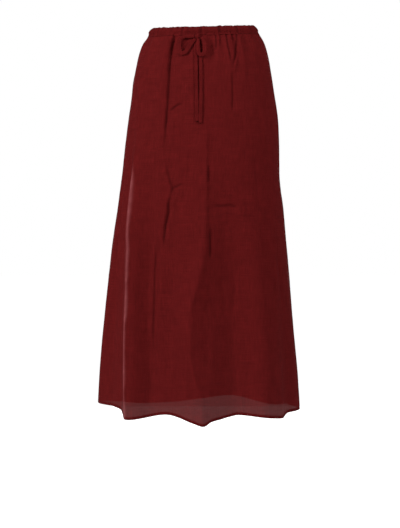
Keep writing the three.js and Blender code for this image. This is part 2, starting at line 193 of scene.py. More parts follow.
# The creases: their points as turn and drop, the half widths to their left and
# right, and the height, which is negative for a trough. A ridge that ends in a narrow right side,
# with a trough beside it, is cloth that laps over its neighbour.
CREASES = [
    # The long pleat left of the bow, whose left side laps over its right side
    ([(-30.4, 0.014), (-29.9, 0.048), (-29.3, 0.078), (-28.4, 0.113), (-28.2, 0.183), (-28.2, 0.261),
      (-27.4, 0.290)], 0.0100, 0.0014, 0.0020),
    ([(-29.3, 0.014), (-28.8, 0.048), (-28.3, 0.078), (-27.3, 0.113), (-27.2, 0.183), (-27.2, 0.261),
      (-26.4, 0.290)], 0.0014, 0.0080, -0.0020),
    # The gathers under the casing, right of the bow
    ([(23.6, 0.008), (23.0, 0.038), (24.6, 0.080)], 0.0018, 0.0034, -0.0020),
    ([(35.3, 0.009), (30.4, 0.040), (28.2, 0.060), (24.9, 0.088)], 0.0018, 0.0030, -0.0018),
    ([(24.4, 0.090), (23.6, 0.150), (21.8, 0.196)], 0.0022, 0.0044, -0.0014),
    ([(33.6, 0.026), (31.0, 0.055), (26.6, 0.092), (26.0, 0.106)], 0.0022, 0.0022, 0.0014),
    ([(27.8, 0.012), (27.2, 0.050), (26.0, 0.076)], 0.0026, 0.0026, 0.0014),
    ([(29.6, 0.009), (29.4, 0.028)], 0.0016, 0.0016, -0.0013),
    ([(13.3, 0.010), (11.9, 0.050)], 0.0016, 0.0026, -0.0017),
    ([(17.6, 0.010), (16.2, 0.036)], 0.0018, 0.0018, -0.0012),
    ([(5.4, 0.014), (7.4, 0.066)], 0.0070, 0.0060, -0.0024),
    # Small creases left of the bow's ends
    ([(-25.6, 0.188), (-20.2, 0.174), (-13.6, 0.167)], 0.0034, 0.0022, -0.0016),
    ([(-22.4, 0.178), (-17.0, 0.161)], 0.0030, 0.0030, 0.0009),
    ([(-21.6, 0.195), (-21.1, 0.228)], 0.0020, 0.0020, 0.0012),
    ([(-17.0, 0.128), (-14.6, 0.142)], 0.0024, 0.0018, -0.0010),
    ([(-9.0, 0.266), (-8.6, 0.330)], 0.0018, 0.0040, -0.0009),
    # The cluster of creases on the left, just above half height
    ([(-26.6, 0.296), (-23.2, 0.331), (-20.7, 0.354), (-22.3, 0.380), (-23.3, 0.401), (-24.1, 0.428),
      (-24.3, 0.458)], 0.0080, 0.0014, 0.0012),
    ([(-25.4, 0.300), (-22.9, 0.331), (-20.0, 0.352), (-21.2, 0.372)], 0.0020, 0.0050, -0.0014),
    ([(-20.9, 0.362), (-22.4, 0.388), (-21.9, 0.404), (-23.3, 0.430), (-23.9, 0.456), (-23.6, 0.482)],
     0.0016, 0.0050, -0.0023),
    ([(-20.3, 0.352), (-17.0, 0.349), (-13.2, 0.343)], 0.0030, 0.0022, -0.0015),
    ([(-17.0, 0.364), (-18.2, 0.378), (-18.8, 0.396)], 0.0030, 0.0030, 0.0012),
    ([(-16.4, 0.396), (-12.6, 0.401)], 0.0022, 0.0022, -0.0009),
    ([(-27.6, 0.288), (-25.2, 0.324)], 0.0030, 0.0030, 0.0009),
    ([(-27.4, 0.444), (-29.6, 0.475), (-30.2, 0.525), (-29.9, 0.607), (-29.5, 0.705)],
     0.0090, 0.0016, 0.0011),
    ([(-26.6, 0.444), (-28.6, 0.475), (-29.6, 0.525), (-29.0, 0.590), (-29.2, 0.640), (-28.6, 0.705)],
     0.0016, 0.0060, -0.0013),
    # The crest that catches the light
    ([(-51.6, 0.290), (-49.2, 0.345), (-47.9, 0.377), (-45.1, 0.483), (-43.6, 0.588), (-42.3, 0.693),
      (-40.8, 0.822), (-39.0, 1.060)], 0.0050, 0.0040, 0.0014),
    # The full face beside that crest, and the broad hollow that it falls into, low down
    ([(-44.2, 0.400), (-40.9, 0.483), (-39.4, 0.588), (-38.1, 0.693), (-36.6, 0.822), (-35.0, 0.960)],
     0.0110, 0.0130, 0.0020),
    ([(-34.0, 0.400), (-33.4, 0.500), (-32.8, 0.588), (-31.8, 0.672), (-30.0, 0.756), (-28.0, 0.960)],
     0.0220, 0.0150, -0.0062),
    # The long crest at the centre, soft above and steep on its right below, and what lies beside it
    ([(3.3, 0.200), (3.3, 0.300), (3.1, 0.391), (2.4, 0.470), (0.6, 0.545)], 0.0110, 0.0060, 0.0015),
    ([(4.6, 0.200), (4.6, 0.300), (4.4, 0.391), (3.8, 0.480), (2.4, 0.545)], 0.0036, 0.0180, -0.0013),
    ([(3.0, 0.400), (1.6, 0.483), (-1.6, 0.546), (-6.2, 0.600), (-5.9, 0.711), (-3.4, 0.752),
      (-1.3, 0.793), (0.2, 0.824), (2.0, 0.960)], 0.0100, 0.0080, 0.0014),
    ([(9.0, 0.430), (6.6, 0.520), (4.0, 0.600), (4.0, 0.711), (6.4, 0.793), (8.0, 0.960)],
     0.0150, 0.0240, -0.0026),
    ([(4.3, 0.302), (4.3, 0.345)], 0.0014, 0.0040, -0.0016),
    ([(5.0, 0.432), (4.9, 0.508)], 0.0016, 0.0050, -0.0022),
    ([(5.4, 0.390), (14.3, 0.391), (20.0, 0.389), (26.6, 0.395)], 0.0026, 0.0022, -0.0017),
    ([(14.0, 0.403), (25.0, 0.405)], 0.0030, 0.0030, 0.0008),
    # Faint creases low down on the right
    ([(12.0, 0.530), (14.6, 0.588), (13.0, 0.640)], 0.0060, 0.0100, -0.0012),
    ([(20.0, 0.500), (21.6, 0.560), (21.0, 0.620)], 0.0040, 0.0060, -0.0012),
    ([(26.5, 0.716), (34.0, 0.720)], 0.0026, 0.0026, 0.0010),
    ([(12.8, 0.683), (19.2, 0.684)], 0.0024, 0.0024, 0.0007),
    ([(24.0, 0.755), (24.6, 0.830), (25.0, 0.940)], 0.0050, 0.0030, 0.0016),
    ([(38.0, 0.250), (42.0, 0.330), (41.0, 0.420)], 0.0070, 0.0050, -0.0010),
    ([(48.0, 0.180), (52.0, 0.270)], 0.0060, 0.0060, 0.0010),
    ([(56.0, 0.480), (59.0, 0.610)], 0.0060, 0.0060, -0.0012),
    # The sides
    ([(-62.0, 0.080), (-58.0, 0.150), (-56.0, 0.22)], 0.0060, 0.0060, 0.0014),
    ([(-74.0, 0.300), (-70.0, 0.420), (-69.0, 0.52)], 0.0060, 0.0060, -0.0016),
    ([(-88.0, 0.400), (-80.0, 0.395), (-74.0, 0.405)], 0.0026, 0.0026, -0.0014),
    ([(-96.0, 0.150), (-101.0, 0.240), (-100.0, 0.31)], 0.0050, 0.0050, -0.0018),
    ([(74.0, 0.150), (78.0, 0.260), (77.0, 0.34)], 0.0050, 0.0050, -0.0016),
    ([(86.0, 0.392), (95.0, 0.398), (104.0, 0.388)], 0.0026, 0.0026, -0.0016),
    ([(98.0, 0.430), (101.0, 0.520), (100.0, 0.60)], 0.0050, 0.0050, 0.0014),
    # The back: long soft lines below the gathers, and the cross creases that sitting leaves
    ([(128.0, 0.014), (130.0, 0.12), (131.0, 0.23)], 0.0040, 0.0040, -0.0024),
    ([(151.0, 0.012), (149.0, 0.08), (150.0, 0.17)], 0.0036, 0.0036, -0.0022),
    ([(172.0, 0.012), (170.0, 0.10), (171.0, 0.27)], 0.0040, 0.0040, -0.0026),
    ([(176.4, 0.012), (175.0, 0.10), (176.0, 0.24)], 0.0050, 0.0050, 0.0016),
    ([(199.0, 0.012), (196.0, 0.07), (194.0, 0.12)], 0.0026, 0.0026, -0.0020),
    ([(207.0, 0.010), (201.0, 0.06), (197.0, 0.11)], 0.0026, 0.0026, -0.0018),
    ([(221.0, 0.012), (223.0, 0.11), (222.0, 0.19)], 0.0038, 0.0038, -0.0022),
    ([(243.0, 0.014), (240.0, 0.10), (241.0, 0.18)], 0.0036, 0.0036, -0.0018),
    ([(140.0, 0.262), (152.0, 0.270), (163.0, 0.262)], 0.0028, 0.0028, -0.0020),
    ([(146.0, 0.255), (156.0, 0.260)], 0.0036, 0.0036, 0.0010),
    ([(186.0, 0.284), (197.0, 0.276), (209.0, 0.286)], 0.0028, 0.0028, -0.0020),
    ([(164.0, 0.330), (168.0, 0.372), (164.0, 0.41), (163.0, 0.46)], 0.0030, 0.0030, -0.0021),
    ([(168.0, 0.370), (176.0, 0.364)], 0.0026, 0.0026, -0.0014),
    ([(212.0, 0.350), (208.0, 0.395), (211.0, 0.44)], 0.0030, 0.0030, -0.0018),
    ([(118.0, 0.340), (124.0, 0.352), (131.0, 0.343)], 0.0026, 0.0026, -0.0014),
    ([(232.0, 0.392), (242.0, 0.400), (250.0, 0.392)], 0.0026, 0.0026, -0.0015),
    ([(187.0, 0.480), (184.0, 0.58), (185.0, 0.70)], 0.0050, 0.0050, 0.0016),
    ([(150.0, 0.500), (152.0, 0.60), (151.0, 0.72)], 0.0046, 0.0046, -0.0014),
    ([(219.0, 0.520), (217.0, 0.64)], 0.0046, 0.0046, 0.0012),
    ([(127.0, 0.560), (130.0, 0.66)], 0.0046, 0.0046, 0.0012),
]

# How steeply a crease falls off to its sides, and how fast it tapers: at both its ends, or at its
# lower end alone where it starts above a drop and runs on under the casing
CREASE_SHARPNESS = 1.5
CREASE_TAPER = 4
CASING_CREASE_TAPER = 3
CASING_CREASE_DROP = 0.02

# Painted shade darkens troughs of at least the first depth, and fully so from the second on, if
# one side is narrower than this. The dark line's own half width is the last.
DARK_CREASE_DEPTHS = (0.0010, 0.0022)
DARK_CREASE_SIDE = 0.0035
DARK_LINE_WIDTH = 0.0018

# The painted highlight along the sharpest ridge, which is nearly twice as wide round one drop
RIDGE_HIGHLIGHT_WIDTH = 0.0021
RIDGE_BROAD_DROP = 0.36
RIDGE_BROAD_REACH = 0.05
RIDGE_LINE = [
    (-51.6, 0.290), (-50.8, 0.317), (-49.2, 0.345), (-47.9, 0.377), (-45.1, 0.483), (-43.6, 0.588),
    (-42.3, 0.693), (-41.7, 0.755), (-40.8, 0.822), (-40.0, 0.900),
]

# The ridge at the centre front swings to the left low down: its row among the folds, and the drops
# and degrees of the swing
CREST_FOLD = 4
CREST_SWING = ((0.44, 0.50, 0.56, 0.61, 0.70, 0.76, 0.81), (0, -1.2, -4.2, -7.4, -7.0, -3.6, 0))

# The strips of cloth, as middle and half width across the front, that lie flat under the bow and,
# below it, under the drawstring's ends, the drops where they stop, and how softly they fade
BOW_STRIP = (-0.020, 0.030)
BOW_STRIP_DROP = 0.065
ENDS_STRIP = (-0.0075, 0.013)
ENDS_STRIP_DROP = 0.235
STRIP_SIDE_FADE = 0.012
STRIP_END_FADE = 0.03
STRIP_UNEVENNESS = 0.25

# The sizes of the cloth's uneven places from side to side, front to back and top to bottom, and the
# length over which the fine gathers fade
GATHER_BUMPS = (0.0075, 0.0075, 0.12)
HANG_BUMPS = ((0.034, 0.034, 0.30), (0.017, 0.017, 0.14))
CRUMPLE_BUMPS = ((0.016, 0.016, 0.022), (0.008, 0.008, 0.012))
GATHER_FADE = 0.026

# The cloth's dip into the side seams, and the degrees beside them over which its creases fade
SEAM_DIP_DEPTH = 0.0011
SEAM_DIP_WIDTH = 0.0032
SEAM_CALM = 4

# The casing: the sizes and depths of its finer crinkles and of its uneven top edge, the place of its
# stitches down its face, the share of its height from which its top rounds over, and its grid
CASING_BUMPS = ((0.021, 0.021, 0.2), (0.0052, 0.0052, 0.05), (0.0026, 0.0026, 0.012))
FINE_CRINKLE_DEPTH = 0.00055
STITCHES_DOWN = (0.93, 0.07)
CASING_ROUNDING = 0.86
EDGE_BUMPS = ((0.0058, 0.0058, 1), (0.0030, 0.0030, 1))
EDGE_UNEVENNESS = 0.0011
CASING_ROWS = 26
CASING_COLUMNS = 620
CASING_METRES_PER_DEGREE = 0.0024

# The turned hem's rows up its inside and round its edge, its two layers' distance, how far the
# panels run up inside the casing, and how much closer their rows lie near the hem
HEM_ROWS = 4
EDGE_ROWS = 4
HEM_GAP = 0.0009
PANEL_TUCK = 0.005
ROW_CROWDING = 1.25
PANEL_ROWS = 300

# The skirt's two halves, from one side seam to the other
HALVES = (("front", -90, 90), ("back", 90, 270))

# How far stitches stand off the cloth, the share of their pitch that shows, the widths of their
# threads, and the seam allowances
STITCH_LIFT = 0.0001
STITCH_SHARE = 0.72
CASING_THREAD = 0.00055
HEM_THREAD = 0.0005
HEM_STITCH_GAP = 0.001
ALLOWANCE_WIDTH = 0.011
ALLOWANCE_END_GAP = 0.001

# The share of the light that the cloth stops: the rest passes straight between its threads
CLOTH_ALPHA = 0.987

# How dense the noise of the threads and of their streaks of dye is along the two ways of the weave
SLUB_SCALES = ((900, 26, 1), (22, 1000, 1))
STREAK_SCALES = ((620, 24, 1), (20, 680, 1))

# The photograph's pixels and the metres that one spans at the side seams, and the camera that sees
# as much
PHOTO_SIZE = (400, 528)
PHOTO_PIXEL = 0.0022
CAMERA_PLACE = (-0.0044, -2.8, -0.5126)
SENSOR_SIZE = 36.0

# The soft lights: their power's setting, their place, what they point at, and their two sizes
LIGHTS = {
    "key_light": ("key_power", (-2.15, -1.6, 0.7), (0, 0, -0.35), (1.0, 1.6)),
    "fill_light": ("fill_power", (1.6, -1.4, 0.8), (0.08, 0, -0.15), (0.8, 0.8)),
    "backdrop_light": ("back_power", (0, 2.6, -0.5), (0, 0, -0.45), (2.4, 2.0)),
}
FLOOR_SIZE = 60
WHITE = (1, 1, 1, 1)


def ease_in(share):
    return share * share * (3 - 2 * share)


def clamp01(value):
    return np.clip(value, 0, 1)


def turn_between(start, end):
    """The shortest way from one turn to another, from -180 to 180 degrees."""
    return (end - start + 180) % 360 - 180


def from_seam(turn):
    """The degrees to the nearer side seam."""
    return np.minimum(np.abs(turn_between(90, turn)), np.abs(turn_between(-90, turn)))


def running_length(places):
    """The length along a row of points, at each of them."""
    return np.r_[0, np.cumsum(np.linalg.norm(np.diff(places, axis=0), axis=1))]


def read_table(rows, along, column, at):
    """A smooth curve through a table's rows: the value of one column at a place along another."""
    places, values = rows[along], rows[column]
    i = np.clip(np.searchsorted(places, at) - 1, 0, len(places) - 2)
    before = np.r_[0, np.arange(len(places) - 1)]
    after = np.r_[np.arange(1, len(places)), len(places) - 1]
    slopes = (values[after] - values[before]) / (places[after] - places[before])
    span = places[i + 1] - places[i]
    share = clamp01((at - places[i]) / span)
    rise = values[i + 1] - values[i]
    bend_low = slopes[i] * span - rise
    bend_high = rise - slopes[i + 1] * span
    bend = (1 - share) * bend_low + share * bend_high
    return values[i] + share * rise + share * (1 - share) * bend


def read_round(rows, column, turn):
    """The same for a table that runs once round the body."""
    closed = {name: np.r_[values[-1], values, values[:2]] for name, values in rows.items()}
    closed["turn"] = np.r_[rows["turn"][-1] - 360, rows["turn"], rows["turn"][:2] + 360]
    return read_table(closed, "turn", column, (turn + 90) % 360 - 90)


def hem_drop(turn):
    return read_round(HEM_LEVELS, "drop", turn)


def fold_profile(away, crisp):
    """The cross-section of a fold: 1 at its crest and 0 from its edge on, rounded or crisp."""
    away = clamp01(away)
    soft = (1 - away) ** 2 * (1 + 2 * away)
    return soft + ((1 - away) ** 1.7 - soft) * crisp


def fold_centre(k, drop):
    """The turn of fold k's crest at a drop."""
    top, hem, start = (FOLDS[name][k] for name in ("top", "hem", "start"))
    share = clamp01((drop - start) / (hem_drop(hem) - start))
    swing = np.interp(drop, *CREST_SWING) if k == CREST_FOLD else 0
    return top + (hem - top) * share**FOLD_DRIFT + swing


def fold_lift(turn, drop):
    lift = np.zeros(np.broadcast(turn, drop).shape)
    for k, height in enumerate(FOLDS["height"]):
        grown = ease_in(clamp01((drop - FOLDS["start"][k]) / (FOLDS["full"][k] - FOLDS["start"][k])))
        offset = turn_between(fold_centre(k, drop), turn)
        spread = FOLDS["spread"][k] * (1 + np.sign(offset) * FOLDS["lean"][k])
        lift += height * grown * fold_profile(np.abs(offset) / spread, FOLDS["crisp"][k])
    return lift


def gather_lift(turn, drop):
    below = drop - CASING_SEAM_DROP
    grown = GATHER_AT_SEAM + (1 - GATHER_AT_SEAM) * ease_in(clamp01(below / GATHER_GROWTH))
    lift = np.zeros(np.broadcast(turn, drop).shape)
    for middle, height, spread, reach in zip(*GATHERS.values()):
        left = 1 - clamp01(below / reach)
        away = np.abs(turn_between(middle, turn)) / spread
        lift += height * grown * ease_in(left) * fold_profile(away, 0)
    return lift


def form_parts(turn, drop):
    """The sides, depth, sine and cosine of the hanging form at each place."""
    angle = np.radians(turn)
    sine, cosine = np.sin(angle), np.cos(angle)
    left, right, front, back = (
        read_table(SECTIONS, "drop", name, drop) for name in ("left", "right", "front", "back")
    )
    return np.where(sine < 0, left, right), np.where(cosine > 0, front, back), sine, cosine


def outward(turn, drop):
    """The level direction out of the form at each place."""
    side, depth, sine, cosine = form_parts(turn, drop)
    out = np.stack([depth * sine, -side * cosine, 0 * side], -1)
    return out / np.linalg.norm(out, axis=-1, keepdims=True)


def form_point(turn, drop, lift):
    """A point of the hanging form, moved out by lift, with the waist's tilt and its front dip."""
    side, depth, sine, cosine = form_parts(turn, drop)
    fuller = 1 + SQUARENESS * np.sin(2 * np.radians(turn)) ** 2
    out = outward(turn, drop)
    x = side * sine * fuller + out[..., 0] * lift
    y = -depth * cosine * fuller + out[..., 1] * lift
    tilt = 1 - ease_in(clamp01(drop / TILT_FADE_DROP))
    lean = SIDE_TILT * x - np.where(cosine > 0, FRONT_DIP, BACK_RISE) * cosine
    return np.stack([x, y, -drop + tilt * lean], -1)


def along_ridge(turn, drop):
    """Shifts the front's columns to run along its sharpest ridge, as the CAD part's do."""
    hem = FOLDS["hem"][0]
    away = turn_between(hem, turn)
    reach = np.where(away < 0, hem + 90, -hem)
    share = clamp01(1 - np.abs(away) / reach)
    return turn + (fold_centre(0, drop) - hem) * share * (np.abs(turn) <= 90)


def metres_per_degree(turn, drop):
    side, depth, sine, cosine = form_parts(turn, drop)
    return math.radians(1) * np.hypot(side * cosine, depth * sine)


def bumps(place, size, seed):
    """Smooth noise through space from -1 to 1, with bumps of about that size along each axis."""
    at = place / np.array(size) + seed * 17.31
    cell = np.floor(at)
    part = ease_in(at - cell)
    total = np.zeros(place.shape[:-1])
    for corner in itertools.product((0, 1), repeat=3):
        node = (cell + corner).astype(np.int64)
        key = (node[..., 0] * 73856093) ^ (node[..., 1] * 19349663) ^ (node[..., 2] * 83492791)
        height = (key * 2654435761 // 1024 % 65536) / 32768 - 1
        total += height * np.prod(np.where(corner, part, 1 - part), axis=-1)
    return total


def beside_crease(points, turn, drop):
    """The distance right of a crease, negative on its left, and how far it has tapered there."""
    nearest = np.full(turn.shape, np.inf)
    aside = np.zeros(turn.shape)
    along = np.zeros(turn.shape)
    steps = [
        math.hypot(turn_between(a[0], b[0]) * metres_per_degree(a[0], a[1]), b[1] - a[1])
        for a, b in zip(points, points[1:])
    ]
    passed = 0.0
    for (a_turn, a_drop), (b_turn, b_drop), step in zip(points, points[1:], steps):
        scale = metres_per_degree(a_turn, drop)
        across = turn_between(a_turn, turn) * scale
        run = turn_between(a_turn, b_turn) * scale
        down, fall = drop - a_drop, b_drop - a_drop
        share = clamp01((across * run + down * fall) / (run * run + fall * fall))
        away = np.hypot(across - share * run, down - share * fall)
        closer = away < nearest
        nearest = np.where(closer, away, nearest)
        aside = np.where(closer, np.sign(across * fall - down * run) * away, aside)
        along = np.where(closer, (passed + share * step) / sum(steps), along)
        passed += step
    taper = ease_in(clamp01(np.minimum(along, 1 - along) * CREASE_TAPER))
    if points[0][1] < CASING_CREASE_DROP:
        taper = ease_in(clamp01((1 - along) * CASING_CREASE_TAPER))
    return aside, taper


def crease_lift(turn, drop):
    """The troughs and ridges of all creases, each tapering to its two ends."""
    lift = np.zeros(turn.shape)
    for points, left, right, height in CREASES:
        aside, taper = beside_crease(points, turn, drop)
        away = np.abs(aside) / np.where(aside < 0, left, right)
        lift += height * taper * np.exp(-(away**CREASE_SHARPNESS))
    return lift


def crease_painted_shade(turn, drop):
    """Painted shade: from 0 to 1 in the narrow creases, where the colour is darkened for the shade in
    them.
    """
    deep = np.zeros(turn.shape)
    least, full = DARK_CREASE_DEPTHS
    for points, left, right, height in CREASES:
        if height < -least and min(left, right) < DARK_CREASE_SIDE:
            aside, taper = beside_crease(points, turn, drop)
            narrow = np.exp(-((aside / DARK_LINE_WIDTH) ** 2))
            deep = np.maximum(deep, taper * narrow * min(1, height / -full))
    return deep


def tie_quiet(turn, drop):
    """Less than 1 under the bow and its ends, where the cloth lies flat enough to carry them."""
    angle = np.radians(turn)
    across = read_table(SECTIONS, "drop", "left", drop) * np.sin(angle)
    by_bow = drop < BOW_STRIP_DROP
    middle, reach = (np.where(by_bow, *pair) for pair in zip(BOW_STRIP, ENDS_STRIP))
    aside = ease_in(clamp01((np.abs(across - middle) - reach) / STRIP_SIDE_FADE))
    above_end = ease_in(clamp01((ENDS_STRIP_DROP - drop) / STRIP_END_FADE))
    free = 1 - (1 - aside) * above_end * (np.cos(angle) > 0)
    return STRIP_UNEVENNESS + (1 - STRIP_UNEVENNESS) * free


def drape_lift(turn, drop, look):
    """What the CAD form leaves out: creases, fine gathers, a soft uneven hang and crumpled cloth."""
    place = form_point(turn, drop, 0.0)
    below = np.maximum(drop - CASING_SEAM_DROP, 0)
    creases = crease_lift(turn, drop) * look.crease_share
    fine = bumps(place, GATHER_BUMPS, 3) * np.exp(-below / GATHER_FADE) * look.gather_depth
    hang = bumps(place, HANG_BUMPS[0], 5) + 0.5 * bumps(place, HANG_BUMPS[1], 6)
    hang *= look.drape_depth * (0.35 + 0.65 * ease_in(clamp01(below / 0.5)))
    crumple = bumps(place, CRUMPLE_BUMPS[0], 8) + 0.6 * bumps(place, CRUMPLE_BUMPS[1], 9)
    crumple *= look.crumple_depth
    return (creases + fine + hang + crumple) * tie_quiet(turn, drop)


def cloth_lift(turn, drop, look):
    """How far the cloth's outer face lies off the plain form, with its dip into the side seams."""
    away = from_seam(turn)
    detail = drape_lift(turn, drop, look) * ease_in(clamp01(away / SEAM_CALM))
    dip = SEAM_DIP_DEPTH * np.exp(-((away * metres_per_degree(turn, drop) / SEAM_DIP_WIDTH) ** 2))
    return fold_lift(turn, drop) + gather_lift(turn, drop) + detail - dip


def ridge_painted_highlight(turn, drop):
    """Painted highlight: a lighter line only along the sharpest ridge, where it catches the light."""
    aside, _ = beside_crease(RIDGE_LINE, turn, drop)
    place = np.stack([0 * drop, 0 * drop, drop], -1)
    wide = 1 + 0.9 * np.exp(-(((drop - RIDGE_BROAD_DROP) / RIDGE_BROAD_REACH) ** 2))
    width = RIDGE_HIGHLIGHT_WIDTH * (wide + 0.45 * bumps(place, (1, 1, 0.021), 31))
    middle = 0.0009 * bumps(place, (1, 1, 0.034), 32)
    uneven = 0.80 + 0.20 * bumps(place, (1, 1, 0.013), 33)
    grown = ease_in(clamp01((drop - RIDGE_LINE[0][1]) / 0.05))
    return grown * uneven * np.exp(-(((aside - middle) / width) ** 2))


def cloth_point(turn, drop, behind, look):
    """The cloth's outer face, or a place that lies behind it."""
    return form_point(turn, drop, cloth_lift(turn, drop, look) - behind)


def casing_lift(turn, down, place):
    """The casing's outer face: it puffs out between its seams and is crinkled by its drawstring."""
    share = read_round(CRINKLE_LEVELS, "share", turn)
    angle = np.radians(turn)
    wave = np.sin(CRINKLE_WAVES[0] * angle) + 0.5 * np.sin(CRINKLE_WAVES[1] * angle)
    wave = wave * (0.5 + 0.5 * bumps(place, CASING_BUMPS[0], 14))
    fine = 1.3 * bumps(place, CASING_BUMPS[1], 12) + 0.6 * bumps(place, CASING_BUMPS[2], 13)
    stitched, reach = STITCHES_DOWN
    held = 1 - 0.7 * np.exp(-(((down - stitched) / reach) ** 2))
    puff = CASING_PUFF * np.sin(np.pi * clamp01(down))
    return puff + share * (CRINKLE_DEPTH * wave + FINE_CRINKLE_DEPTH * fine) * held


def casing_faces(turn, share, look):
    """The lift of the casing's outer and inner face and their drop, from the seam, 0, to the top, 1."""
    rise = np.sin(share * math.pi / 2)
    down = 1 - rise
    drop = CASING_TOP_DROP + (CASING_SEAM_DROP - CASING_TOP_DROP) * down
    place = form_point(turn, drop, 0.0)
    over = np.maximum(rise - CASING_ROUNDING, 0) ** 2 / (1 - CASING_ROUNDING) ** 2
    half = CASING_HALF_THICKNESS * np.sqrt(np.maximum(1 - over, 0))
    half = half * (0.2 + 0.8 * ease_in(clamp01(share / 0.5)))
    crinkled = casing_lift(turn, down, place)
    outer = half + crinkled * clamp01(half / CASING_HALF_THICKNESS * 1.2)
    above = ease_in(clamp01(rise / 0.5))
    at_seam = cloth_lift(turn, 0 * turn + CASING_SEAM_DROP, look) + 0.0002
    outer = outer * above + at_seam * (1 - above)
    inner = -half + 0.35 * crinkled * (half > 0)
    uneven = bumps(place, EDGE_BUMPS[0], 21) + 0.6 * bumps(place, EDGE_BUMPS[1], 22)
    return outer, inner, drop - uneven * rise * EDGE_UNEVENNESS


# Meshes

def new_grid(columns, rows):
    """A bmesh grid and the share of the way across and up of each of its vertices."""
    bm = bmesh.new()
    bmesh.ops.create_grid(bm, x_segments=columns, y_segments=rows, size=1, calc_uvs=False)
    shares = np.array([v.co[:2] for v in bm.verts])
    return bm, (shares[:, 0] + 1) / 2, (shares[:, 1] + 1) / 2


def move_verts(bm, places):
    for vert, place in zip(bm.verts, places.tolist()):
        vert.co = place


def add_uv(bm, across, along):
    """Writes a UV map in metres, from one value across and one along for each vertex."""
    layer = bm.loops.layers.uv.new("UVMap")
    bm.verts.index_update()
    for face in bm.faces:
        for loop in face.loops:
            i = loop.vert.index
            loop[layer].uv = (across[i], along[i])


def add_values(bm, name, values):
    layer = bm.verts.layers.float.new(name)
    for vert, value in zip(bm.verts, values.tolist()):
        vert[layer] = value


def close_ends(bm, distance):
    """Joins a tube's two long edges, which lie on each other, and fills its open ends."""
    bmesh.ops.remove_doubles(bm, verts=bm.verts, dist=distance)
    edges = [edge for edge in bm.edges if edge.is_boundary]
    bmesh.ops.holes_fill(bm, edges=edges, sides=0)


def finish_piece(bm, name, material, thickness=0.0):
    """Turns a bmesh into a smooth object that rides the part, with its cloth's thickness."""
    mesh = bpy.data.meshes.new(name)
    bm.to_mesh(mesh)
    bm.free()
    mesh.shade_smooth()
    piece = bpy.data.objects.new(name, mesh)
    bpy.context.scene.collection.objects.link(piece)
    piece.data.materials.append(material)
    if thickness:
        shell = piece.modifiers.new("Cloth thickness", "SOLIDIFY")
        shell.thickness = thickness
        shell.offset = -1
        shell.use_rim = True
    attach(piece, "root")
    return piece


def row_lengths(points):
    """The running length along each row of a grid of points, from the row's middle."""
    steps = np.linalg.norm(np.diff(points, axis=1), axis=-1)
    running = np.concatenate([np.zeros((points.shape[0], 1)), np.cumsum(steps, axis=1)], axis=1)
    return running - running[:, -1:] / 2


def panel_rows(count, turn, row, look):
    """The drop of each row of a panel and how far it lies behind the cloth's outer face.
    The rows start inside, at the top of the turned hem, go down and round its edge, and then up
    the outside into the casing."""
    edge = hem_drop(turn)
    rise = clamp01(row / HEM_ROWS)
    round_edge = (row - HEM_ROWS) / EDGE_ROWS
    inside = row <= HEM_ROWS
    rounding = (row > HEM_ROWS) & (round_edge <= 1)
    angle = np.pi * clamp01(round_edge)
    radius = HEM_GAP / 2
    up = clamp01((row - HEM_ROWS - EDGE_ROWS) / (count - HEM_ROWS - EDGE_ROWS))
    top = CASING_SEAM_DROP - PANEL_TUCK
    outside_drop = top + (edge - radius - top) * (1 - up) ** ROW_CROWDING
    inside_drop = edge - (radius + (look.hem_depth - radius) * (1 - rise))
    edge_drop = edge - radius + radius * np.sin(angle)
    drop = np.where(inside, inside_drop, np.where(rounding, edge_drop, outside_drop))
    behind = np.where(inside, HEM_GAP, np.where(rounding, radius * (1 + np.cos(angle)), 0.0))
    return drop, behind


def cloth_panel(name, first, last, columns, look, material):
    """One hanging panel between two side seams, its turned hem in the same sheet of cloth."""
    rows = PANEL_ROWS
    bm, across, up = new_grid(columns, rows)
    turn = first + (last - first) * across
    row = np.rint(up * rows)
    drop, behind = panel_rows(rows, turn, row, look)
    at = along_ridge(turn, drop) if first < 0 else turn
    places = form_point(at, drop, cloth_lift(at, drop, look) - behind)
    move_verts(bm, places)
    order = np.lexsort((across, row))
    grid = places[order].reshape(rows + 1, columns + 1, 3)
    run = np.empty(len(across))
    run[order] = row_lengths(grid).ravel()
    hem = np.where(behind > HEM_GAP * 2 / 3, 2 * (hem_drop(turn) - drop), 0)
    add_uv(bm, run, -drop - hem)
    # Painted highlight along the sharpest ridge
    add_values(bm, "wear", ridge_painted_highlight(at, drop))
    # Painted shade in the narrow creases
    add_values(bm, "deep", crease_painted_shade(at, drop))
    return finish_piece(bm, name, material)


def casing_band(name, first, last, look, material):
    """Half of the casing: a closed band whose cloth runs up its outside, over and down inside."""
    bm, across, up = new_grid(CASING_COLUMNS, CASING_ROWS)
    turn = first + (last - first) * across
    outside = up <= 0.5
    share = np.where(outside, up, 1 - up) * 2
    outer, inner, drop = casing_faces(turn, share, look)
    move_verts(bm, form_point(turn, drop, np.where(outside, outer, inner)))
    rise = np.sin(share * math.pi / 2)
    height = rise * (CASING_SEAM_DROP - CASING_TOP_DROP)
    add_uv(bm, (turn - first) * CASING_METRES_PER_DEGREE, np.where(outside, height, -height))
    down = 1 - rise
    puff = CASING_PUFF * np.sin(np.pi * down)
    crinkled = casing_lift(turn, down, form_point(turn, drop, 0.0)) - puff
    # Painted shade in the troughs of the casing's crinkles, on its outside
    add_values(bm, "deep", 0.7 * clamp01(-crinkled / CRINKLE_DEPTH) * outside)
    close_ends(bm, 0.00002)
    return finish_piece(bm, name, material)


